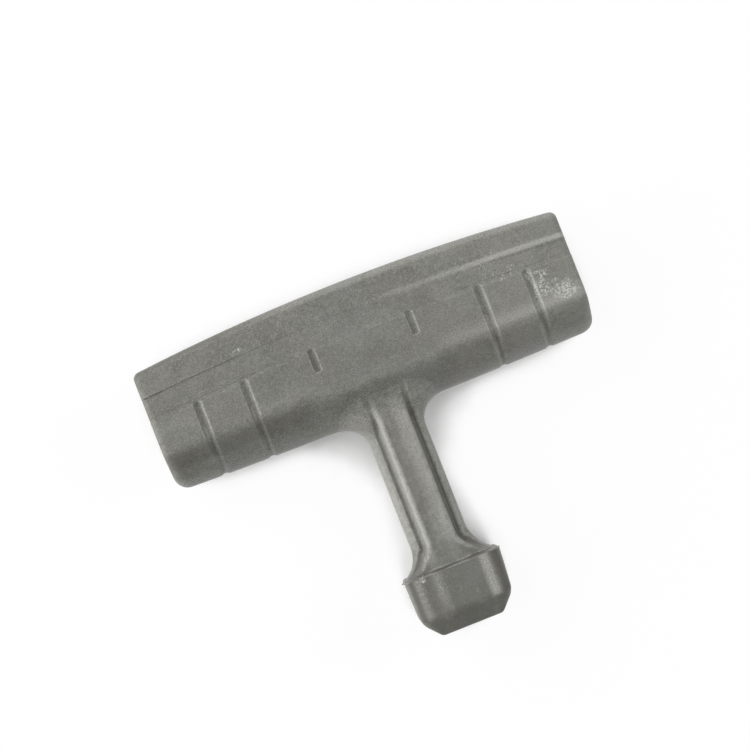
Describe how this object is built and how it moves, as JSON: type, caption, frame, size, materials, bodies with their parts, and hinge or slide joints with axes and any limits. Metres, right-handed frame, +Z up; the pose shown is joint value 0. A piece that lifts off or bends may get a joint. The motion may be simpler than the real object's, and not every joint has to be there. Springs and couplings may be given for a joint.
{
  "type": "recoil starter handle",
  "caption": "Moulded T-handle for a recoil starter, with finger pads on its grip bar, a ribbed stem bored for the rope and a square end boss.",
  "frame": {"origin": "middle of the handle's length and height, on the surface that its back lies on", "axes": "+X along the grip bar, +Y from the boss along the stem to the palm face, +Z up through the thickness"},
  "size_m": [0.105, 0.0856, 0.021],
  "materials": {
    "grip": "satin gray moulded rubber with fine light speckle"
  },
  "bodies": {
    "root": {"handle": "grip"}
  },
  "joints": []
}
